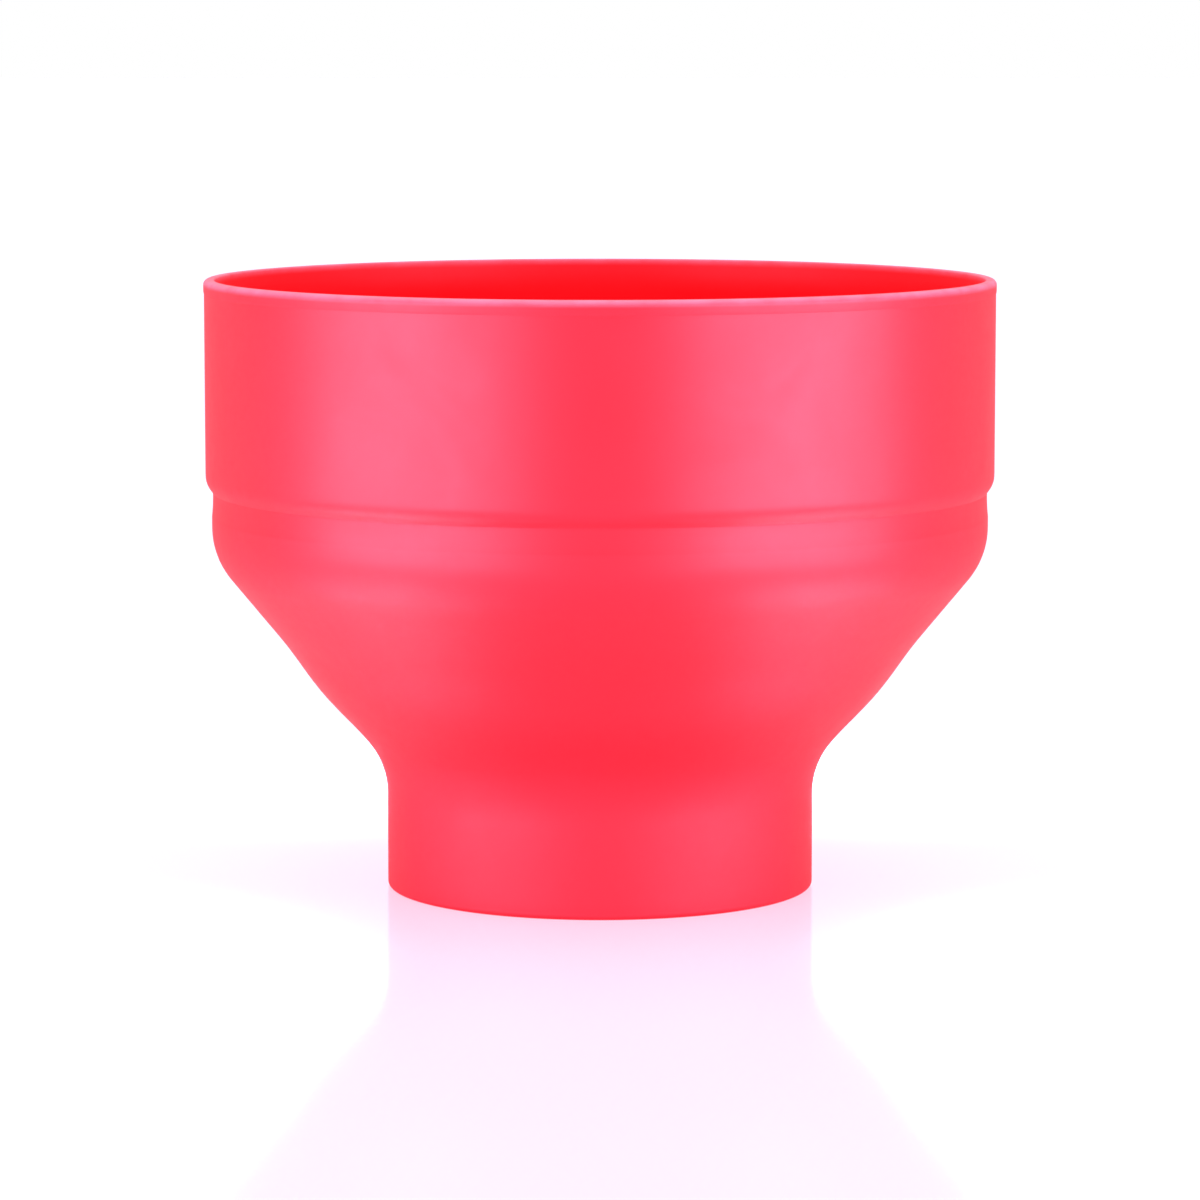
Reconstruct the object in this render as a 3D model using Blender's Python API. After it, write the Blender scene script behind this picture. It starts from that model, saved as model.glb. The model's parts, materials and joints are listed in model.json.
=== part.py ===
"""A collapsible silicone popcorn bowl.

The bowl is a single flexible moulding: a cup-shaped base, a leaning wall that
folds, a rounded shoulder and an upright band with a bead along its rim.  The
zones are drawn as separate bodies.  The folding wall is cut along upright
cylinders into concentric rings, so each ring can slide straight down past its
neighbours while the band drops over the base.

Run with: blender --background --python part.py
"""

import math

import bmesh
import bpy

# --- Driving dimensions, in metres -------------------------------------------

HEIGHT = 0.155                # table to the top of the rim
RIM_RADIUS = 0.100            # outside of the rim bead
BASE_RADIUS = 0.0542          # outside of the cup the bowl stands on

BASE_HEIGHT = 0.0316          # table to where the leaning wall would meet the cup
SHOULDER_HEIGHT = 0.0157      # where the leaning wall would meet the shoulder, to the band
BAND_HEIGHT = 0.054           # foot of the band to the top of the rim

WALL = 0.0018                 # cup, leaning wall and shoulder
FLOOR_THICKNESS = 0.0025
BAND_WALL = 0.0015

BASE_CORNER = 0.0012          # rounding where the cup meets the table
NECK_CURVE = 0.022            # rounding from the cup into the leaning wall
SHOULDER_CURVE = 0.024        # rounding from the leaning wall into the shoulder
WALL_BULGE = 0.0009           # how far the lower leaning wall swells outwards
BULGE_SHARE = 0.65            # share of the leaning wall that swells

BEAD_THICKNESS = 0.0028       # rim bead, across the wall
BEAD_HEIGHT = 0.0038
BEAD_CORNER = 0.0008
BEAD_PROUD = 0.00015          # how far the bead stands out from the band
BAND_FOOT_INSET = 0.0012      # how far the foot of the band turns in
BAND_FOOT_HEIGHT = 0.0045     # height over which it turns in

FOLD_RINGS = 8
NECK_LEAN = 0.0014            # the cup keeps the wall until it leans out this far
SHOULDER_WIDTH = 0.0030       # radial width of the shoulder ring

# --- Clearances --------------------------------------------------------------

GAP = 0.0003                  # between touching zones
NEST_CLEARANCE = 0.0003       # between the shoulder and the band it nests in

# --- Smoothness --------------------------------------------------------------

SEGMENTS = 48                 # around the bowl
CURVE_STEPS = 4               # along each large rounding
CORNER_STEPS = 2              # along each small rounding
SHARP_ANGLE = math.radians(40)

SILICONE_RED = (0.91, 0.045, 0.085, 1.0)
SILICONE_ROUGHNESS = 0.48

BAND_RADIUS = RIM_RADIUS - BEAD_PROUD
BAND_INSIDE = BAND_RADIUS - BAND_WALL
BAND_BOTTOM = HEIGHT - BAND_HEIGHT
SHOULDER_RADIUS = BAND_INSIDE - NEST_CLEARANCE


def clear_scene():
    for obj in list(bpy.data.objects):
        bpy.data.objects.remove(obj, do_unlink=True)


# --- Outlines: lists of (radius, height) points --------------------------------

def between(start, end, share):
    """The point a share of the way from start to end."""
    return tuple(a + (b - a) * share for a, b in zip(start, end))


def rounded(before, corner, after, radius, steps):
    """The arc that rounds a corner, no longer than the legs beside it."""
    leg_in = math.dist(before, corner)
    leg_out = math.dist(corner, after)
    cosine = sum((b - c) * (a - c) for b, c, a in zip(before, corner, after))
    turn = math.pi - math.acos(cosine / (leg_in * leg_out))
    trim = min(radius * math.tan(turn / 2), leg_in, leg_out)
    reach = trim / math.tan(turn / 2)
    start = between(corner, before, trim / leg_in)
    end = between(corner, after, trim / leg_out)
    middle = between(start, end, 0.5)
    inward = reach / math.cos(turn / 2) / math.dist(corner, middle)
    centre = between(corner, middle, inward)
    first = math.atan2(start[1] - centre[1], start[0] - centre[0])
    last = math.atan2(end[1] - centre[1], end[0] - centre[0])
    sweep = math.remainder(last - first, 2 * math.pi)
    return [(centre[0] + reach * math.cos(first + sweep * i / steps),
             centre[1] + reach * math.sin(first + sweep * i / steps))
            for i in range(steps + 1)]


def bowl_outside():
    """The outer side of the wall, from the table up to the groove under the band."""
    table = (BASE_RADIUS - 2 * BASE_CORNER, 0.0)
    foot = (BASE_RADIUS, 0.0)
    neck = (BASE_RADIUS, BASE_HEIGHT)
    shoulder = (SHOULDER_RADIUS, BAND_BOTTOM - SHOULDER_HEIGHT)
    groove = (SHOULDER_RADIUS, BAND_BOTTOM - GAP)
    lean_middle = between(neck, shoulder, 0.5)

    foot_curve = rounded(table, foot, neck, BASE_CORNER, CORNER_STEPS)
    neck_curve = rounded(foot_curve[-1], neck, lean_middle, NECK_CURVE, CURVE_STEPS)
    shoulder_curve = rounded(lean_middle, shoulder, groove, SHOULDER_CURVE, CURVE_STEPS)

    start, end = neck_curve[-1], shoulder_curve[0]
    length = math.dist(start, end)
    outward = ((end[1] - start[1]) / length, (start[0] - end[0]) / length)
    swell = []
    for i in range(1, CURVE_STEPS + 1):
        share = i / CURVE_STEPS
        on_line = between(start, end, share * BULGE_SHARE)
        rise = WALL_BULGE * math.sin(math.pi * share)
        swell.append((on_line[0] + rise * outward[0], on_line[1] + rise * outward[1]))
    return foot_curve + neck_curve + swell + shoulder_curve + [groove]


def inside_of(outside, thickness):
    """The outline moved inwards, square to itself, by the wall's thickness."""
    moved = []
    for i, point in enumerate(outside):
        before = outside[max(i - 1, 0)]
        after = outside[min(i + 1, len(outside) - 1)]
        length = math.dist(before, after)
        moved.append((point[0] - thickness * (after[1] - before[1]) / length,
                      point[1] + thickness * (after[0] - before[0]) / length))
    return moved


def crossing(outline, radius):
    """Where the outline first reaches a radius: the point, and how many points precede it."""
    for i, (start, end) in enumerate(zip(outline, outline[1:])):
        if start[0] < radius <= end[0]:
            share = (radius - start[0]) / (end[0] - start[0])
            return between(start, end, share), i + 1
    raise ValueError(f"the wall never reaches a radius of {radius:.4f} m")


def stretch(outline, inner_radius=None, outer_radius=None):
    """The part of the outline between two radii, with a point on each."""
    points = list(outline)
    if outer_radius is not None:
        last, count = crossing(points, outer_radius)
        points = points[:count] + [last]
    if inner_radius is not None:
        first, count = crossing(points, inner_radius)
        points = [first] + points[count:]
    return points


def ring_edges():
    """The radii where one fold ring ends and the next begins."""
    start = BASE_RADIUS + NECK_LEAN
    end = SHOULDER_RADIUS - SHOULDER_WIDTH
    return [start + (end - start) * i / FOLD_RINGS for i in range(FOLD_RINGS + 1)]


# --- Solids --------------------------------------------------------------------

def silicone(name):
    material = bpy.data.materials.new(name + "_silicone")
    material.use_nodes = True
    shader = material.node_tree.nodes["Principled BSDF"]
    shader.inputs["Base Color"].default_value = SILICONE_RED
    shader.inputs["Roughness"].default_value = SILICONE_ROUGHNESS
    shader.inputs["Metallic"].default_value = 0.0
    material.diffuse_color = SILICONE_RED
    return material


def turned(name, section, closed=True):
    """Turn a section about the upright axis; an open one starts and ends on it."""
    bm = bmesh.new()
    verts = [bm.verts.new((radius, 0.0, height)) for radius, height in section]
    edges = [bm.edges.new(pair) for pair in zip(verts, verts[1:])]
    if closed:
        edges.append(bm.edges.new((verts[-1], verts[0])))
    bmesh.ops.spin(bm, geom=verts + edges, cent=(0, 0, 0), axis=(0, 0, 1),
                   angle=2 * math.pi, steps=SEGMENTS, use_duplicate=False)
    bmesh.ops.remove_doubles(bm, verts=bm.verts, dist=1e-6)
    bmesh.ops.recalc_face_normals(bm, faces=bm.faces)
    mesh = bpy.data.meshes.new(name)
    bm.to_mesh(mesh)
    bm.free()
    mesh.shade_smooth()
    mesh.set_sharp_from_angle(angle=SHARP_ANGLE)
    mesh.materials.append(silicone(name))
    obj = bpy.data.objects.new(name, mesh)
    bpy.context.scene.collection.objects.link(obj)
    return obj


def base_floor():
    radius = BASE_RADIUS - WALL - GAP
    turned("base_floor", [(0.0, 0.0), (radius, 0.0),
                          (radius, FLOOR_THICKNESS), (0.0, FLOOR_THICKNESS)], closed=False)


def base_wall(outside, inside, edges):
    wall_foot = (BASE_RADIUS - WALL, 0.0)
    inner_side = [point for point in stretch(inside, outer_radius=edges[0])
                  if point[1] > FLOOR_THICKNESS]
    turned("base_wall", [wall_foot] + stretch(outside, outer_radius=edges[0]) + inner_side[::-1])


def fold_rings(outside, inside, edges):
    for number, (start, end) in enumerate(zip(edges, edges[1:]), start=1):
        lower = stretch(outside, start + GAP, end)
        upper = stretch(inside, start + GAP, end)
        turned(f"fold_ring_{number}", lower + upper[::-1])


def shoulder_ring(outside, inside, edges):
    lower = stretch(outside, inner_radius=edges[-1] + GAP)
    upper = stretch(inside, inner_radius=edges[-1] + GAP)
    turned("shoulder_ring", lower + upper[::-1])


def upper_band():
    foot_curve = [(BAND_RADIUS - BAND_FOOT_INSET * (1 - math.sin(turn)),
                   BAND_BOTTOM + BAND_FOOT_HEIGHT * (1 - math.cos(turn)))
                  for turn in (math.pi / 2 * i / CURVE_STEPS for i in range(CURVE_STEPS + 1))]
    top = HEIGHT - BEAD_HEIGHT - GAP
    turned("upper_band", foot_curve + [(BAND_RADIUS, top), (BAND_INSIDE, top),
                                       (BAND_INSIDE, BAND_BOTTOM)])


def rim_bead():
    low, high = HEIGHT - BEAD_HEIGHT, HEIGHT
    inner, outer = RIM_RADIUS - BEAD_THICKNESS, RIM_RADIUS
    corners = [(inner, low), (outer, low), (outer, high), (inner, high)]
    section = []
    for i, corner in enumerate(corners):
        section += rounded(corners[i - 1], corner, corners[(i + 1) % 4], BEAD_CORNER, CORNER_STEPS)
    turned("rim_bead", section)


def build():
    clear_scene()
    outside = bowl_outside()
    inside = inside_of(outside, WALL)
    edges = ring_edges()
    base_floor()
    base_wall(outside, inside, edges)
    fold_rings(outside, inside, edges)
    shoulder_ring(outside, inside, edges)
    upper_band()
    rim_bead()


build()
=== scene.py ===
# %% [markdown]
# # A collapsible silicone popcorn bowl
#
# This is a bowl for popping corn in a microwave oven.  It is one flexible moulding in coral-red
# silicone: a cup that stands on the table, a leaning wall that folds, a rounded shoulder, and an
# upright band with a bead along its rim.  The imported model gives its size, its zones and how far
# it folds.  Here the same bowl gets its real surface, a finish and a place to stand.

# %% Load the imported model
import json
import math

import bpy
import numpy as np
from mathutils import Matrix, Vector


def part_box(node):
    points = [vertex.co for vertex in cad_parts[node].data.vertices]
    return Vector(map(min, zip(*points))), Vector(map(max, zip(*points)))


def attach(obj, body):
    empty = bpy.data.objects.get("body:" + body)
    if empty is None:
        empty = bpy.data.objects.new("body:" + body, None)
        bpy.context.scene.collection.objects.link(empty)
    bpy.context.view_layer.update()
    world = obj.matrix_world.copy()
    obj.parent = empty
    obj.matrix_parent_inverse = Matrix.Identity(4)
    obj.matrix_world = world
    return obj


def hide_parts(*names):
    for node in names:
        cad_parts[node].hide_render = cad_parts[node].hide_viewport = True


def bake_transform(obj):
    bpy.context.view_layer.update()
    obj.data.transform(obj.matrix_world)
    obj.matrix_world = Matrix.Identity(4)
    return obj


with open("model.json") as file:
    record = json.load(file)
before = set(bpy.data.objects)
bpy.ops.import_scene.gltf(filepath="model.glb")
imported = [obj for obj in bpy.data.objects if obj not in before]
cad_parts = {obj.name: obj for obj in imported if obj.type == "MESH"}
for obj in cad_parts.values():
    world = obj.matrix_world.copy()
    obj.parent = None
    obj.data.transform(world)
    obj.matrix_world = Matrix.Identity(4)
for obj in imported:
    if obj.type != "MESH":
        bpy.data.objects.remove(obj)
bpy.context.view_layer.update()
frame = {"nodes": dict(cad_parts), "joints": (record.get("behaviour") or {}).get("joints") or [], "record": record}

MM = 0.001

# %% [markdown]
# ## The bowl's measures
#
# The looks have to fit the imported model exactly, so every measure that it can give is read from
# it: the height of the rim, the radius of the band, the place of the groove.  A turned shape is
# told by radii and heights, so two small helpers read those from a node.  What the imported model
# doesn't hold, such as a small rounding, gets a named value of its own where it is first used.

# %% Read radii and heights
def radii(node, lowest=-1.0, highest=1.0):
    """The smallest and largest radius of a node's points between two heights."""
    points = np.array([v.co for v in frame["nodes"][node].data.vertices])
    chosen = points[(points[:, 2] >= lowest) & (points[:, 2] <= highest)]
    distance = np.hypot(chosen[:, 0], chosen[:, 1])
    return float(distance.min()), float(distance.max())


def heights(node):
    low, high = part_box(node)
    return low.z, high.z


SHOULDER_PROUD = 0.25 * MM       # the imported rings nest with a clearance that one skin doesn't need
UPRIGHT_CUP = 10 * MM            # below this height the cup's wall is upright

cup_inside, cup_radius = radii("base_wall", highest=UPRIGHT_CUP)
wall = cup_radius - cup_inside
floor_thickness = heights("base_floor")[1]
band_inside, band_radius = radii("upper_band")
bead_inside, rim_radius = radii("rim_bead")
band_bottom = heights("upper_band")[0]
bead_bottom, rim_height = heights("rim_bead")
shoulder_radius = radii("shoulder_ring")[1] + SHOULDER_PROUD
print(f"cup {cup_radius / MM:.1f} mm, band {band_radius / MM:.2f} mm, wall {wall / MM:.1f} mm")
print(f"groove at {band_bottom / MM:.1f} mm, rim at {rim_height / MM:.1f} mm")

# %% [markdown]
# ## Working by hand, in a script
#
# A potter raises a bowl ring by ring, and a circle's open edge can be raised the same way:
# extrude it, move it up, scale it in or out, and go on to the next height.  Drawing the outline
# and spinning it would give the same shape, but the raised edge stays easy to follow, because
# each step is one height and one radius.  The operators act on what is selected, so everything
# is deselected before a new piece is begun.

# %% Begin, raise and finish a turned piece
AROUND = 192                     # faces around the bowl
SAME_PLACE = 0.002 * MM          # points closer than this are one point
SHARP_ANGLE = 40                 # degrees, above which an edge isn't shaded smooth
print("faces around the bowl:", AROUND)


def begin_ring(name, radius, height, fill="NOTHING"):
    """A new circle at its size and place, ready in edit mode with its edge selected."""
    bpy.ops.object.select_all(action="DESELECT")
    bpy.ops.mesh.primitive_circle_add(vertices=AROUND, radius=radius, fill_type=fill,
                                      location=(0, 0, height))
    piece = bpy.context.object
    piece.name = piece.data.name = name
    bpy.ops.object.transform_apply(location=True)
    bpy.ops.object.mode_set(mode="EDIT")
    bpy.ops.mesh.select_mode(type="EDGE")
    return piece


def raise_ring(stations):
    """Extrude the selected edge loop from the first station through all the others."""
    for (radius, height), (next_radius, next_height) in zip(stations, stations[1:]):
        rise = (0, 0, next_height - height)
        bpy.ops.mesh.extrude_region_move(TRANSFORM_OT_translate={"value": rise})
        growth = next_radius / radius
        bpy.ops.transform.resize(value=(growth, growth, 1), center_override=(0, 0, 0))


def finish_piece(piece):
    """Close the seams, turn the faces outwards, shade smooth and leave edit mode."""
    bpy.ops.mesh.select_all(action="SELECT")
    bpy.ops.mesh.remove_doubles(threshold=SAME_PLACE)
    bpy.ops.mesh.normals_make_consistent(inside=False)
    bpy.ops.mesh.select_all(action="DESELECT")
    bpy.ops.object.mode_set(mode="OBJECT")
    bpy.ops.object.shade_smooth_by_angle(angle=math.radians(SHARP_ANGLE))
    print(f"{piece.name}: {len(piece.data.polygons)} faces")
    return piece

# %% [markdown]
# ## The outline of the wall
#
# From the table up, the wall is an upright cup, a hollow curve at the neck, a leaning wall that
# swells a little on its lower half, a round shoulder, and a short upright stretch that narrows
# into the groove under the band.  Two corners carry it: where the leaning wall would meet the
# cup, and where it would meet the shoulder.  Each corner is rounded with an arc that touches
# both sides, as a turner would do with a template.

# %% Arcs and lines as stations
NECK_CORNER = 31.6 * MM          # height where the leaning wall would meet the cup
SHOULDER_CORNER = 15.7 * MM      # the same at the shoulder, measured down from the groove
NECK_CURVE = 22 * MM
SHOULDER_CURVE = 20 * MM
SWELL = 0.9 * MM                 # how far the lower leaning wall swells outwards
SWELL_SHARE = 0.65               # share of the leaning wall that swells
print(f"corners {NECK_CORNER / MM:.1f} mm up and {SHOULDER_CORNER / MM:.1f} mm under the groove")


def between(start, end, share):
    return tuple(a + (b - a) * share for a, b in zip(start, end))


def line(start, end, steps):
    """Stations after the start, up to and with the end."""
    return [between(start, end, i / steps) for i in range(1, steps + 1)]


def rounded(before, corner, after, radius, steps):
    """The arc of a radius that rounds a corner between two straight sides."""
    leg_in, leg_out = math.dist(before, corner), math.dist(corner, after)
    cosine = sum((b - c) * (a - c) for b, c, a in zip(before, corner, after))
    turn = math.pi - math.acos(cosine / (leg_in * leg_out))
    trim = radius * math.tan(turn / 2)
    start = between(corner, before, trim / leg_in)
    end = between(corner, after, trim / leg_out)
    middle = between(start, end, 0.5)
    inward = radius / math.cos(turn / 2) / math.dist(corner, middle)
    centre = between(corner, middle, inward)
    first = math.atan2(start[1] - centre[1], start[0] - centre[0])
    last = math.atan2(end[1] - centre[1], end[0] - centre[0])
    sweep = math.remainder(last - first, 2 * math.pi)
    return [(centre[0] + radius * math.cos(first + sweep * i / steps),
             centre[1] + radius * math.sin(first + sweep * i / steps))
            for i in range(steps + 1)]


def moved_inwards(outside, thickness):
    """The outline moved square to itself by a wall's thickness."""
    moved = []
    for i, (radius, height) in enumerate(outside):
        before, after = outside[max(i - 1, 0)], outside[min(i + 1, len(outside) - 1)]
        length = math.dist(before, after)
        moved.append((radius - thickness * (after[1] - before[1]) / length,
                      height + thickness * (after[0] - before[0]) / length))
    return moved


# %% Stations of the wall's outer side
SEAM = 20 * MM                   # where the cup ends and the folding wall begins

neck = (cup_radius, NECK_CORNER)
shoulder = (shoulder_radius, band_bottom - SHOULDER_CORNER)
upright_top = (shoulder_radius, band_bottom)
lean_middle = between(neck, shoulder, 0.5)
neck_arc = rounded((cup_radius, 0), neck, lean_middle, NECK_CURVE, steps=14)
shoulder_arc = rounded(lean_middle, shoulder, upright_top, SHOULDER_CURVE, steps=16)


def swelling(start, end, steps):
    """The leaning wall, swollen outwards over its lower part."""
    length = math.dist(start, end)
    outward = ((end[1] - start[1]) / length, (start[0] - end[0]) / length)
    stations = []
    for i in range(1, steps):
        share = i / steps
        rise = SWELL * math.sin(math.pi * min(share / SWELL_SHARE, 1.0)) ** 2
        radius, height = between(start, end, share)
        stations.append((radius + rise * outward[0], height + rise * outward[1]))
    return stations


wall_outside = (
    [(cup_radius, SEAM)] + neck_arc
    + swelling(neck_arc[-1], shoulder_arc[0], steps=24)
    + shoulder_arc
)
print(f"leaning wall from {neck_arc[-1][1] / MM:.1f} to {shoulder_arc[0][1] / MM:.1f} mm up")

# %% [markdown]
# ## The folding wall
#
# On the real bowl the whole wall is one skin, so here it is one piece too, raised ring by ring
# along the outline: up the outer side, over the top and down the inner side, where the last
# ring is bridged to the first.  A Solidify modifier would be quicker, but it measures square to
# the surface and can't draw the top in to the groove, where the moulding is at its thinnest.

# %% Raise the folding wall
GROOVE_DEPTH = 0.3 * MM
GROOVE_DROP = 0.4 * MM           # how far under the band the groove is at its deepest
GROOVE_RISE = 5.5 * MM           # height over which the shoulder narrows into the groove
GROOVE_STEPS = 8
INTO_BAND = 0.9 * MM             # how far the wall's end runs up into the foot of the band
HIDDEN_STEP = 0.15 * MM          # keeps that end just under the band's skin


def bridge_open_ends():
    """Bridge the last ring of a section to its first."""
    bpy.ops.mesh.select_all(action="DESELECT")
    bpy.ops.mesh.select_non_manifold(extend=False)
    bpy.ops.mesh.bridge_edge_loops()


def turned_section(name, stations):
    """A piece whose section is closed: its stations run round it once."""
    piece = begin_ring(name, *stations[0])
    raise_ring(stations)
    bridge_open_ends()
    return finish_piece(piece)


wall_inside = moved_inwards(wall_outside, wall)
groove_height = band_bottom - GROOVE_DROP
groove_radius = shoulder_radius - GROOVE_DEPTH
wall_end = band_bottom + INTO_BAND
inner_radius = shoulder_radius - wall

upright = line(wall_outside[-1], (shoulder_radius, groove_height - GROOVE_RISE), 4)
into_groove = [(shoulder_radius - GROOVE_DEPTH * math.sin(turn) ** 2,
                groove_height - GROOVE_RISE * math.cos(turn))
               for turn in (math.pi / 2 * i / GROOVE_STEPS for i in range(1, GROOVE_STEPS + 1))]
folding_stations = (
    wall_outside + upright + into_groove
    + [(groove_radius, band_bottom), (groove_radius - HIDDEN_STEP, band_bottom + HIDDEN_STEP)]
    + [(groove_radius - HIDDEN_STEP, wall_end)]
    + [(inner_radius, wall_end)]
    + line((inner_radius, wall_end), (inner_radius, wall_inside[-1][1]), 12)
    + wall_inside[-2::-1]
)
folding_wall = turned_section("folding_wall", folding_stations)

# %% [markdown]
# ## The cup
#
# The cup is the thickest part, because it holds the hot corn and keeps the bowl steady.  Its
# section doesn't close on itself: it starts under the middle of the floor, goes out, up the
# outer side, over the seam and down the inner side, and ends above the middle.  The two small
# rings left at the middle are each merged to a point.  A mould is filled through a gate, which
# leaves a shallow round dimple there, and a rounded corner inside lets the corn roll out.

# %% Raise the cup
CUP_CORNER = 1.3 * MM            # outside, where the cup meets the table
CUP_FILLET = 5 * MM              # inside, between floor and wall
GATE_RADIUS = 3 * MM
GATE_DEPTH = 0.3 * MM
MIDDLE = 1 * MM                  # the first and last ring


def merge_middle():
    """Merge each small ring at the middle to a point."""
    bpy.ops.mesh.select_all(action="DESELECT")
    bpy.ops.mesh.select_non_manifold(extend=False)
    bpy.ops.mesh.merge(type="COLLAPSE")


under_middle = (MIDDLE, GATE_DEPTH)
gate = [under_middle, (GATE_RADIUS, GATE_DEPTH), (GATE_RADIUS + GATE_DEPTH, 0)]
under_corner = rounded(gate[-1], (cup_radius, 0), (cup_radius, SEAM), CUP_CORNER, 6)
seam_inner = (cup_inside, SEAM)
floor_middle = (MIDDLE, floor_thickness)
inner_corner = rounded(seam_inner, (cup_inside, floor_thickness), floor_middle, CUP_FILLET, 10)
cup_stations = (
    gate + line(gate[-1], under_corner[0], 6) + under_corner[1:]
    + line(under_corner[-1], (cup_radius, SEAM), 6) + [seam_inner]
    + line(seam_inner, inner_corner[0], 4) + inner_corner[1:]
    + line(inner_corner[-1], floor_middle, 6)
)
base_cup = begin_ring("base_cup", *cup_stations[0])
raise_ring(cup_stations)
merge_middle()
finish_piece(base_cup)

# %% [markdown]
# ## The upper band
#
# The band stays round while the wall folds, so it is a piece of its own.  Outside, its foot
# curves in to the groove in an S: upright at the bottom of the groove, a quick turn outwards,
# and a slower one back to upright.  Inside, a small ledge with a soft corner carries the end of
# the folding wall, as the unbroken skin does on the real bowl.  Towards the mouth the band grows
# thicker, so gently that it meets the bead without a step, and its top runs up into the bead.

# %% Raise the upper band
GROOVE_FLOOR = 0.3 * MM          # upright stretch at the bottom of the groove
FOOT_HEIGHT = 5.4 * MM
FOOT_SKEW = 2.0                  # above 1, the S turns sooner at its lower end
LEDGE_THICKNESS = 1.7 * MM
LEDGE_CORNER = 1.0 * MM
LEDGE_NOSE = 0.6 * MM            # rounding of the ledge's own edge
LEDGE_FOOT = 0.3 * MM            # upright stretch under it
INTO_BEAD = 1.2 * MM
INSIDE_BEAD = 0.5 * MM           # keeps the band's top edge inside the bead
BEAD_LAP = 0.05 * MM
THICKENING = 16 * MM             # height over which the band thickens up to the bead


def foot_of_band(steps):
    """From the groove out to the band's upright side, in an S with a smooth start and end."""
    stations = [(groove_radius, band_bottom)]
    for i in range(steps + 1):
        share = i / steps
        ease = share ** 3 * (share * (6 * share - 15) + 10)
        stations.append((groove_radius + (band_radius - groove_radius) * ease,
                         band_bottom + GROOVE_FLOOR + FOOT_HEIGHT * share ** FOOT_SKEW))
    return stations


def thickening(steps):
    """Down the inner side from the bead: an S from the bead's inner side to the band's."""
    stations = []
    for i in range(steps + 1):
        share = i / steps
        ease = share * share * (3 - 2 * share)
        stations.append((bead_inside + (band_inside - bead_inside) * ease,
                         bead_bottom - THICKENING * share))
    return stations


foot = foot_of_band(steps=18)
inner_top = thickening(steps=12)
band_top = bead_bottom + INTO_BEAD
in_bead = bead_inside + INSIDE_BEAD
ledge_top = band_bottom + LEDGE_THICKNESS
ledge_corner = rounded((band_inside, band_top), (band_inside, ledge_top),
                       (inner_radius, ledge_top), LEDGE_CORNER, 6)
ledge_nose = rounded((band_inside, ledge_top), (inner_radius, ledge_top),
                     (inner_radius, band_bottom), LEDGE_NOSE, 4)
band_stations = (
    foot + line(foot[-1], (band_radius, band_top), 10)
    + [(in_bead, band_top), (in_bead, bead_bottom + BEAD_LAP)] + inner_top
    + line(inner_top[-1], ledge_corner[0], 6) + ledge_corner[1:]
    + ledge_nose + [(inner_radius, band_bottom + LEDGE_FOOT)]
)
stiff_band = turned_section("stiff_band", band_stations)

# %% [markdown]
# ## The rim bead
#
# The bead keeps the mouth round and gives the fingers something to hold.  Its section is a
# small block, thicker than the band, whose lower outer edge runs out in a narrow slope: that
# slope gives the two faint lines under the lip.  The block is raised with sharp corners and one
# Bevel modifier rounds the top.  The lip is rounder outside than inside, so each top edge
# carries a bevel weight, its own share of the modifier's width.

# %% Raise the rim bead
LIP_ROUNDING = 1.3 * MM          # the outer top edge
INNER_ROUNDING = 0.5 * MM
BEAD_SLOPE = 0.9 * MM            # height of the narrow slope under the bead
SLOPE_IN = 0.05 * MM             # its lower edge sinks this far into the band's side
SLOPE_DROP = 0.1 * MM            # and reaches this far below the bead
TOUCH = 0.01 * MM                # two measures closer than this count as equal

slope_top = bead_bottom + BEAD_SLOPE
bead_stations = [
    (bead_inside, bead_bottom), (band_radius - SLOPE_IN, bead_bottom - SLOPE_DROP),
    (rim_radius, slope_top), (rim_radius, rim_height), (bead_inside, rim_height),
]
mouth_bead = begin_ring("mouth_bead", *bead_stations[0])
raise_ring(bead_stations)
bridge_open_ends()
finish_piece(mouth_bead)
weights = mouth_bead.data.attributes.new("bevel_weight_edge", "FLOAT", "EDGE")
for edge in mouth_bead.data.edges:
    ends = [mouth_bead.data.vertices[i].co for i in edge.vertices]
    if min(end.z for end in ends) > rim_height - TOUCH:
        on_circle = abs(ends[0].xy.length - ends[1].xy.length) < TOUCH
        outer = ends[0].xy.length > (rim_radius + bead_inside) / 2
        if on_circle:
            weights.data[edge.index].value = 1.0 if outer else INNER_ROUNDING / LIP_ROUNDING
rounding = mouth_bead.modifiers.new("rounding", "BEVEL")
rounding.width = LIP_ROUNDING
rounding.segments = 6
rounding.limit_method = "WEIGHT"
bpy.ops.object.select_all(action="DESELECT")
mouth_bead.select_set(True)
bpy.context.view_layer.objects.active = mouth_bead
bpy.ops.object.modifier_apply(modifier=rounding.name)
print("bead, with its edges rounded:", len(mouth_bead.data.polygons), "faces")
bpy.ops.object.shade_smooth_by_angle(angle=math.radians(SHARP_ANGLE))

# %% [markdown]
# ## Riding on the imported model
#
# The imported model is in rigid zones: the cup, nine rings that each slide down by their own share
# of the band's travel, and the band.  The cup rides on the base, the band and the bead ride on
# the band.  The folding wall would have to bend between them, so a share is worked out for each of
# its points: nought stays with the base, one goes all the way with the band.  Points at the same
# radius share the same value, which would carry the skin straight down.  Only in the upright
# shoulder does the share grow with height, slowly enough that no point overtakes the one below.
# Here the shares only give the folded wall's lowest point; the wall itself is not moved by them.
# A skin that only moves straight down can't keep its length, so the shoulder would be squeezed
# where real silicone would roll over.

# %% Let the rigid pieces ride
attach(base_cup, "base")
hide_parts("base_floor", "base_wall")
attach(stiff_band, "band")
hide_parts("upper_band")
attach(mouth_bead, "band")
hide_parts("rim_bead")
print("the cup rides on the base; the band and its bead ride on the band")
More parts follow.
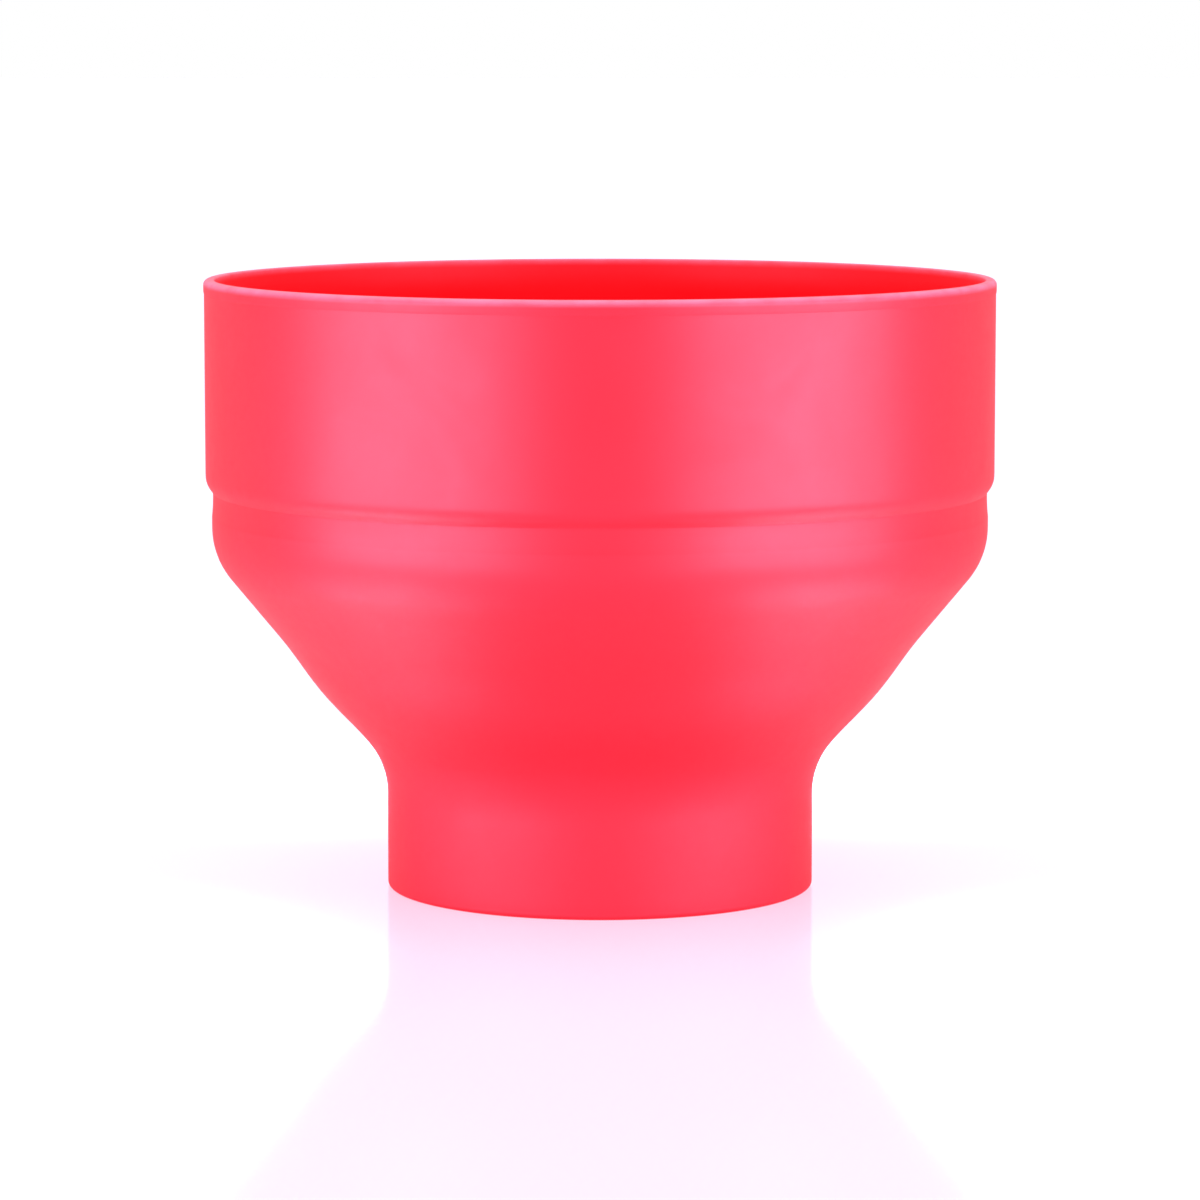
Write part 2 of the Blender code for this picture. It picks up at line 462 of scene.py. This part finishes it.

# %% Work out each point's share of the folding wall, and its lowest folded point
SHARE_AT_SHOULDER = 0.865        # reached where the shoulder turns upright
SHOULDER_FROM = band_bottom - 21 * MM    # from here up, the share grows with height
NECK_STAYS = 2.5 * MM            # the first of the neck stays with the cup
EVEN_OUT = 2.5 * MM              # the shares are evened out over this much radius
SOFT_START = 0.4                 # part of the shoulder over which its share sets in

behaviour = frame["record"]["behaviour"]
ratio_of = {c["joint"]: c["ratio"] for c in behaviour["couplings"]}
ring_places, ring_shares = [cup_radius + NECK_STAYS], [0.0]
ring_nodes = []
for joint in frame["joints"]:
    if joint["name"] in ratio_of:
        node = behaviour["bodies"][joint["child"]][0]
        ring_nodes.append(node)
        ring_places.append(sum(radii(node)) / 2)
        ring_shares.append(min(ratio_of[joint["name"]], SHARE_AT_SHOULDER))
print("rings at", [round(place / MM, 1) for place in ring_places], "share", ring_shares)

places = np.array([v.co for v in folding_wall.data.vertices])
place_radius = np.hypot(places[:, 0], places[:, 1])
shifts = np.linspace(-EVEN_OUT, EVEN_OUT, 9)
share = sum(np.interp(place_radius + shift, ring_places, ring_shares) for shift in shifts)
share /= len(shifts)
up_shoulder = np.clip((places[:, 2] - SHOULDER_FROM) / (groove_height - SHOULDER_FROM), 0, 1)
setting_in = up_shoulder ** 2 / (2 * SOFT_START)
steady = up_shoulder - SOFT_START / 2
up_shoulder = np.where(up_shoulder < SOFT_START, setting_in, steady) / (1 - SOFT_START / 2)
share += (1 - share) * up_shoulder

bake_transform(folding_wall)
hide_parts(*ring_nodes)
travel = next(j["range_m"][1] for j in frame["joints"] if j["name"] == "collapse")
lowest = (places[:, 2] - share * travel).min()
print(f"folded, the wall's lowest point is {lowest / MM:.2f} mm above the table")

# %% [markdown]
# ## The finish of moulded silicone
#
# Food-grade silicone is a strong colour all through, with a satin skin copied from a lightly
# blasted mould.  Five things keep it from looking like paint: the pigment is a little cloudy,
# the sheen is uneven where hands have been, the cup is more matt than the rest, the lip's top is
# painted paler, a painted highlight for the light its top face catches together with wear, and
# the skin has a grain under half a millimetre that the eye reads as softness.
# All pieces share them, so they are one node group.  It reads the point's place on the unfolded
# bowl, stored on the mesh, because a pattern on Object coordinates would slide over the wall as
# it folds.

# %% Store each point's place on the unfolded bowl
def remember_place(piece):
    attribute = piece.data.attributes.new("moulded_place", "FLOAT_VECTOR", "POINT")
    coordinates = np.array([v.co for v in piece.data.vertices], np.float32)
    attribute.data.foreach_set("vector", coordinates.ravel())


silicone_pieces = [base_cup, folding_wall, stiff_band, mouth_bead]
for piece in silicone_pieces:
    remember_place(piece)
print("unfolded places stored on", len(silicone_pieces), "pieces")

# %% Small helpers for nodes
def add_node(tree, kind, **values):
    """A node with its input sockets set by name."""
    node = tree.nodes.new(kind)
    for name, value in values.items():
        node.inputs[name].default_value = value
    return node


def maths(tree, operation, first, second):
    """A Math node; each operand is a socket or a number."""
    node = tree.nodes.new("ShaderNodeMath")
    node.operation = operation
    for socket, operand in zip(node.inputs, (first, second)):
        if isinstance(operand, bpy.types.NodeSocket):
            tree.links.new(operand, socket)
        else:
            socket.default_value = operand
    return node.outputs[0]


def noise(tree, place, scale, detail=2.0, roughness=0.5, distortion=0.0):
    node = add_node(tree, "ShaderNodeTexNoise", Scale=scale, Detail=detail,
                    Roughness=roughness, Distortion=distortion)
    tree.links.new(place, node.inputs["Vector"])
    return node.outputs["Fac"]


def blend_colours(tree, share, first, second):
    node = tree.nodes.new("ShaderNodeMix")
    node.data_type = "RGBA"
    colour_sockets = [socket for socket in node.inputs if socket.type == "RGBA"]
    tree.links.new(share, node.inputs["Factor"])
    tree.links.new(first, colour_sockets[0])
    tree.links.new(second, colour_sockets[1])
    return next(socket for socket in node.outputs if socket.type == "RGBA")


def smooth_step(tree, value, start, end):
    """Nought at the start, one at the end, with a soft turn at both."""
    node = add_node(tree, "ShaderNodeMapRange", **{"From Min": start, "From Max": end})
    node.interpolation_type = "SMOOTHSTEP"
    tree.links.new(value, node.inputs["Value"])
    return node.outputs["Result"]


# %% The node group: clouded pigment, uneven sheen, fine grain
CLOUD_SCALE = 24.0               # patches of about 40 mm
PIGMENT_SCALE = 420.0            # streaks of a few millimetres
HAND_SCALE = 38.0                # smudges of about 25 mm
GRAIN_SCALE = 2400.0             # the blasted mould's texture, under half a millimetre
WAVE_SCALE = 30.0                # slow unevenness of a soft wall
GRAIN_HEIGHT = 0.010             # in millimetres
WAVE_HEIGHT = 0.060
MATT_BELOW = 30 * MM             # the cup is blasted a little coarser, up to the neck
SATIN_ABOVE = 55 * MM
LIP_HIGHLIGHT_AND_WEAR_HEIGHT = 2.0 * MM       # the lip's top is painted paler over this last height: a painted highlight, and wear
LIP_SCALE = 160.0                # how patchily it does, in patches of about 6 mm
LIP_PALE_AT_LEAST = 0.35
CLOUD_SHARE = 0.7                # of the pigment's depth, from the clouds
STREAK_SHARE = 0.3               # and from the streaks
FINE_SHEEN = 0.05                # roughness that follows the streaks


def moulded_silicone_group():
    group = bpy.data.node_groups.new("moulded_silicone", "ShaderNodeTree")
    new_socket = group.interface.new_socket
    new_socket("Place", in_out="INPUT", socket_type="NodeSocketVector")
    new_socket("Red", in_out="INPUT", socket_type="NodeSocketColor")
    new_socket("Deep red", in_out="INPUT", socket_type="NodeSocketColor")
    new_socket("Roughness", in_out="INPUT", socket_type="NodeSocketFloat")
    new_socket("Handling", in_out="INPUT", socket_type="NodeSocketFloat")
    new_socket("Matt foot", in_out="INPUT", socket_type="NodeSocketFloat")
    new_socket("Lip highlight and wear red", in_out="INPUT", socket_type="NodeSocketColor")
    new_socket("Color", in_out="OUTPUT", socket_type="NodeSocketColor")
    new_socket("Roughness", in_out="OUTPUT", socket_type="NodeSocketFloat")
    new_socket("Height", in_out="OUTPUT", socket_type="NodeSocketFloat")
    source = group.nodes.new("NodeGroupInput")
    result = group.nodes.new("NodeGroupOutput")
    place = source.outputs["Place"]

    clouds = noise(group, place, CLOUD_SCALE, detail=3.0, distortion=0.4)
    pigment = noise(group, place, PIGMENT_SCALE, detail=4.0, roughness=0.6)
    depth = maths(group, "ADD", maths(group, "MULTIPLY", clouds, CLOUD_SHARE),
                  maths(group, "MULTIPLY", pigment, STREAK_SHARE))
    pigmented = blend_colours(group, depth, source.outputs["Red"], source.outputs["Deep red"])

    split = group.nodes.new("ShaderNodeSeparateXYZ")
    group.links.new(place, split.inputs[0])
    # The lip's top is painted paler in patches: a painted highlight for the light that its top face catches,
    # together with wear.
    lip = smooth_step(group, split.outputs["Z"], rim_height - LIP_HIGHLIGHT_AND_WEAR_HEIGHT, rim_height)
    patchy = maths(group, "ADD", noise(group, place, LIP_SCALE, detail=3.0), LIP_PALE_AT_LEAST)
    lip_highlight_and_wear = maths(group, "MULTIPLY", lip, patchy)
    group.links.new(blend_colours(group, lip_highlight_and_wear, pigmented, source.outputs["Lip highlight and wear red"]),
                    result.inputs["Color"])

    smudges = noise(group, place, HAND_SCALE, detail=5.0, roughness=0.65, distortion=0.8)
    uneven = maths(group, "MULTIPLY", maths(group, "SUBTRACT", smudges, 0.5),
                   source.outputs["Handling"])
    fine = maths(group, "MULTIPLY", maths(group, "SUBTRACT", pigment, 0.5), FINE_SHEEN)
    foot = smooth_step(group, split.outputs["Z"], SATIN_ABOVE, MATT_BELOW)
    coarser = maths(group, "MULTIPLY", foot, source.outputs["Matt foot"])
    satin = maths(group, "ADD", source.outputs["Roughness"], coarser)
    sheen = maths(group, "ADD", satin, maths(group, "ADD", uneven, fine))
    group.links.new(sheen, result.inputs["Roughness"])

    grain = noise(group, place, GRAIN_SCALE, detail=2.0)
    wave = noise(group, place, WAVE_SCALE, detail=1.0)
    height = maths(group, "ADD", maths(group, "MULTIPLY", grain, GRAIN_HEIGHT),
                   maths(group, "MULTIPLY", wave, WAVE_HEIGHT))
    group.links.new(height, result.inputs["Height"])
    return group


silicone_skin = moulded_silicone_group()
print("node group:", silicone_skin.name, len(silicone_skin.nodes), "nodes")

# %% One material for each zone of the moulding
CORAL = (0.940, 0.0025, 0.0110, 1.0)
DEEP_CORAL = (0.880, 0.0015, 0.0060, 1.0)
# Pale pink for the lip's top: a painted highlight, together with wear.
LIP_HIGHLIGHT_AND_WEAR_CORAL = (0.900, 0.1100, 0.1700, 1.0)
SATIN = 0.46                     # roughness of the whole moulding
WORN_SATIN = 0.04                # added to the bead's roughness
MATT_FOOT = 0.16                 # added to the cup's roughness
SILICONE_IOR = 1.41
PINK_SHEEN = (1.0, 0.80, 1.0, 1.0)


def silicone(name, roughness, handling):
    material = bpy.data.materials.new(name)
    material.use_nodes = True
    tree = material.node_tree
    shader = tree.nodes["Principled BSDF"]
    place = tree.nodes.new("ShaderNodeAttribute")
    place.attribute_name = "moulded_place"
    skin = tree.nodes.new("ShaderNodeGroup")
    skin.node_tree = silicone_skin
    skin.inputs["Red"].default_value = CORAL
    skin.inputs["Deep red"].default_value = DEEP_CORAL
    skin.inputs["Roughness"].default_value = roughness
    skin.inputs["Handling"].default_value = handling
    skin.inputs["Matt foot"].default_value = MATT_FOOT
    skin.inputs["Lip highlight and wear red"].default_value = LIP_HIGHLIGHT_AND_WEAR_CORAL
    bump = add_node(tree, "ShaderNodeBump", Strength=1.0, Distance=MM)
    tree.links.new(place.outputs["Vector"], skin.inputs["Place"])
    tree.links.new(skin.outputs["Color"], shader.inputs["Base Color"])
    tree.links.new(skin.outputs["Roughness"], shader.inputs["Roughness"])
    tree.links.new(skin.outputs["Height"], bump.inputs["Height"])
    tree.links.new(bump.outputs["Normal"], shader.inputs["Normal"])
    shader.inputs["IOR"].default_value = SILICONE_IOR
    shader.inputs["Specular Tint"].default_value = PINK_SHEEN
    return material


def wear(piece, material):
    piece.data.materials.clear()
    piece.data.materials.append(material)


wear(base_cup, silicone("cup_silicone", SATIN, handling=0.10))
wear(folding_wall, silicone("wall_silicone", SATIN, handling=0.12))
wear(stiff_band, silicone("band_silicone", SATIN, handling=0.14))
wear(mouth_bead, silicone("bead_silicone", SATIN + WORN_SATIN, handling=0.18))
print("materials:", [piece.data.materials[0].name for piece in silicone_pieces])

# %% [markdown]
# ## Floor, light and camera
#
# The bowl stands on a plain pale board with a faint gloss, lit from below in a cool white, which
# gives its mirror image a lilac tint.  A surround that is bright overhead, and dim around the
# horizon, lights the board evenly and keeps the upright walls from going chalky.  To the camera
# it is plain white, which a Light Path node can arrange, and another one keeps most of the
# board's white out of the silicone's own sheen.  Two wide soft panels stand at the front, left
# and right, so that each lays one broad highlight on the round band.  They are low, so that the
# rim keeps them out of the mouth, and have a faint pink filter.  Four small lamps point straight
# down at the board around the bowl, and the underside of the shoulder picks up their glow.

# %% A pale floor
FLOOR_SIZE = 30.0
FLOOR_GLOSS = 0.38               # share of light that the sealed board mirrors
FLOOR_GLOW = 1.00                # the board is lit from below, which lifts its shadows
UNSEEN = 0.70                    # share of the board's light that a gloss doesn't mirror
BOARD_WHITE = 0.30
BOARD_ROUGHNESS = 0.08
WHITE = (1.0, 1.0, 1.0, 1.0)
COOL_GLOW = (0.77, 0.77, 1.0, 1.0)

bpy.ops.object.select_all(action="DESELECT")
bpy.ops.mesh.primitive_plane_add(size=FLOOR_SIZE)
pale_floor = bpy.context.object
pale_floor.name = "pale_floor"
floor_finish = bpy.data.materials.new("pale_floor")
floor_finish.use_nodes = True
floor_nodes = floor_finish.node_tree
floor_nodes.nodes.remove(floor_nodes.nodes["Principled BSDF"])
matt = floor_nodes.nodes.new("ShaderNodeBsdfDiffuse")
glow = add_node(floor_nodes, "ShaderNodeEmission", Color=COOL_GLOW)
gloss = add_node(floor_nodes, "ShaderNodeBsdfAnisotropic", Color=WHITE,
                 Roughness=BOARD_ROUGHNESS)
seen_by = floor_nodes.nodes.new("ShaderNodeLightPath")
unseen = maths(floor_nodes, "MULTIPLY", seen_by.outputs["Is Glossy Ray"], UNSEEN)
seen = maths(floor_nodes, "SUBTRACT", 1.0, unseen)
floor_nodes.links.new(maths(floor_nodes, "MULTIPLY", seen, FLOOR_GLOW), glow.inputs["Strength"])
floor_nodes.links.new(maths(floor_nodes, "MULTIPLY", seen, BOARD_WHITE), matt.inputs["Color"])
floor_finish.cycles.emission_sampling = "NONE"
board = floor_nodes.nodes.new("ShaderNodeAddShader")
sealed = floor_nodes.nodes.new("ShaderNodeMixShader")
sealed.inputs[0].default_value = FLOOR_GLOSS
floor_nodes.links.new(matt.outputs[0], board.inputs[0])
floor_nodes.links.new(glow.outputs[0], board.inputs[1])
floor_nodes.links.new(board.outputs[0], sealed.inputs[1])
floor_nodes.links.new(gloss.outputs[0], sealed.inputs[2])
floor_nodes.links.new(sealed.outputs[0], floor_nodes.nodes["Material Output"].inputs["Surface"])
pale_floor.data.materials.append(floor_finish)
print("board:", FLOOR_SIZE, "m,", len(floor_nodes.nodes), "nodes")

# %% The surround
OVERHEAD = 2.8                   # strength straight above
FRONT = 0.80                     # strength at the horizon, in front
BACK = 0.64                      # and behind
DIM_BELOW = 25                   # degrees above the horizon where it begins to brighten
BRIGHT_ABOVE = 65                # and where it is brightest
COOL_WHITE = (1.0, 0.98, 1.04, 1.0)

world = bpy.data.worlds.new("studio_surround")
world.use_nodes = True
sky = world.node_tree
direction = sky.nodes.new("ShaderNodeTexCoord")
split = sky.nodes.new("ShaderNodeSeparateXYZ")
grade = sky.nodes.new("ShaderNodeMapRange")
grade.interpolation_type = "SMOOTHSTEP"
grade.inputs["From Min"].default_value = math.sin(math.radians(DIM_BELOW))
grade.inputs["From Max"].default_value = math.sin(math.radians(BRIGHT_ABOVE))
grade.inputs["To Max"].default_value = OVERHEAD
level = sky.nodes.new("ShaderNodeMapRange")
level.inputs["From Min"].default_value = -1.0
level.inputs["To Min"].default_value = FRONT
level.inputs["To Max"].default_value = BACK
room = sky.nodes["Background"]
room.inputs["Color"].default_value = COOL_WHITE
sky.links.new(direction.outputs["Generated"], split.inputs[0])
sky.links.new(split.outputs["Y"], level.inputs["Value"])
sky.links.new(level.outputs["Result"], grade.inputs["To Min"])
sky.links.new(split.outputs["Z"], grade.inputs["Value"])
sky.links.new(grade.outputs["Result"], room.inputs["Strength"])
backdrop = add_node(sky, "ShaderNodeBackground", Color=WHITE, Strength=1.0)
path = sky.nodes.new("ShaderNodeLightPath")
choice = sky.nodes.new("ShaderNodeMixShader")
sky.links.new(path.outputs["Is Camera Ray"], choice.inputs[0])
sky.links.new(room.outputs[0], choice.inputs[1])
sky.links.new(backdrop.outputs[0], choice.inputs[2])
sky.links.new(choice.outputs[0], sky.nodes["World Output"].inputs["Surface"])
bpy.context.scene.world = world
bpy.context.scene.view_settings.view_transform = "Standard"
print("surround:", len(sky.nodes), "nodes")

# %% Soft panels
PANEL_DISTANCE = 0.95
PANEL_AZIMUTH = 53               # degrees from the front, to each side
PANEL_SIZE = (1.0, 0.18)
PANEL_HEIGHT = 0.11              # of its middle
PANEL_POWER = 14.6
PINK_FILTER = (0.92, 0.74, 1.0)


def soft_panel(name, azimuth):
    """An upright panel facing the bowl's axis; azimuth 0 is in front, and 90 to the right."""
    turn = math.radians(azimuth)
    place = (PANEL_DISTANCE * math.sin(turn), -PANEL_DISTANCE * math.cos(turn), PANEL_HEIGHT)
    data = bpy.data.lights.new(name, "AREA")
    data.shape = "RECTANGLE"
    data.size, data.size_y = PANEL_SIZE
    data.energy = PANEL_POWER
    data.color = PINK_FILTER
    panel = bpy.data.objects.new(name, data)
    panel.location = place
    panel.rotation_euler = (math.pi / 2, 0, turn)
    panel.visible_camera = False
    bpy.context.scene.collection.objects.link(panel)
    print(name, "at", [round(x, 3) for x in place])


soft_panel("left_panel", -PANEL_AZIMUTH)
soft_panel("right_panel", PANEL_AZIMUTH)

# %% Four lamps that light the board around the bowl
LAMP_AZIMUTH = 58                # degrees from the front, to each side
BACK_LAMP_AZIMUTH = 156
LAMP_DISTANCE = 0.20
LAMP_HEIGHT = 0.20
LAMP_SPREAD = 60                 # degrees, narrow enough to miss the bowl
LAMP_SIZE = 0.04
LAMP_POWER = 0.95
BACK_LAMP_POWER = 0.60


def board_lamp(name, azimuth, power):
    """A small lamp that points straight down at the board."""
    turn = math.radians(azimuth)
    place = (LAMP_DISTANCE * math.sin(turn), -LAMP_DISTANCE * math.cos(turn), LAMP_HEIGHT)
    data = bpy.data.lights.new(name, "AREA")
    data.shape = "DISK"
    data.size = LAMP_SIZE
    data.spread = math.radians(LAMP_SPREAD)
    data.energy = power
    data.color = PINK_FILTER
    lamp = bpy.data.objects.new(name, data)
    lamp.location = place
    lamp.visible_camera = False
    bpy.context.scene.collection.objects.link(lamp)
    print(name, "at", [round(x, 3) for x in place])


board_lamp("left_lamp", -LAMP_AZIMUTH, LAMP_POWER)
board_lamp("right_lamp", LAMP_AZIMUTH, LAMP_POWER)
board_lamp("left_back_lamp", -BACK_LAMP_AZIMUTH, BACK_LAMP_POWER)
board_lamp("right_back_lamp", BACK_LAMP_AZIMUTH, BACK_LAMP_POWER)

# %% The camera
CAMERA_DISTANCE = 1.276
CAMERA_HEIGHT = 0.2227
CAMERA_PITCH = 6.69              # degrees below level
LENS = 151.4                     # in millimetres, like the sensor
SENSOR = 36

camera_data = bpy.data.cameras.new("camera")
camera_data.lens = LENS
camera_data.sensor_width = SENSOR
camera = bpy.data.objects.new("camera", camera_data)
camera.location = (0, -CAMERA_DISTANCE, CAMERA_HEIGHT)
camera.rotation_euler = (math.radians(90 - CAMERA_PITCH), 0, 0)
bpy.context.scene.collection.objects.link(camera)
bpy.context.scene.camera = camera
print(f"camera {CAMERA_DISTANCE} m away, {CAMERA_PITCH} degrees below level")
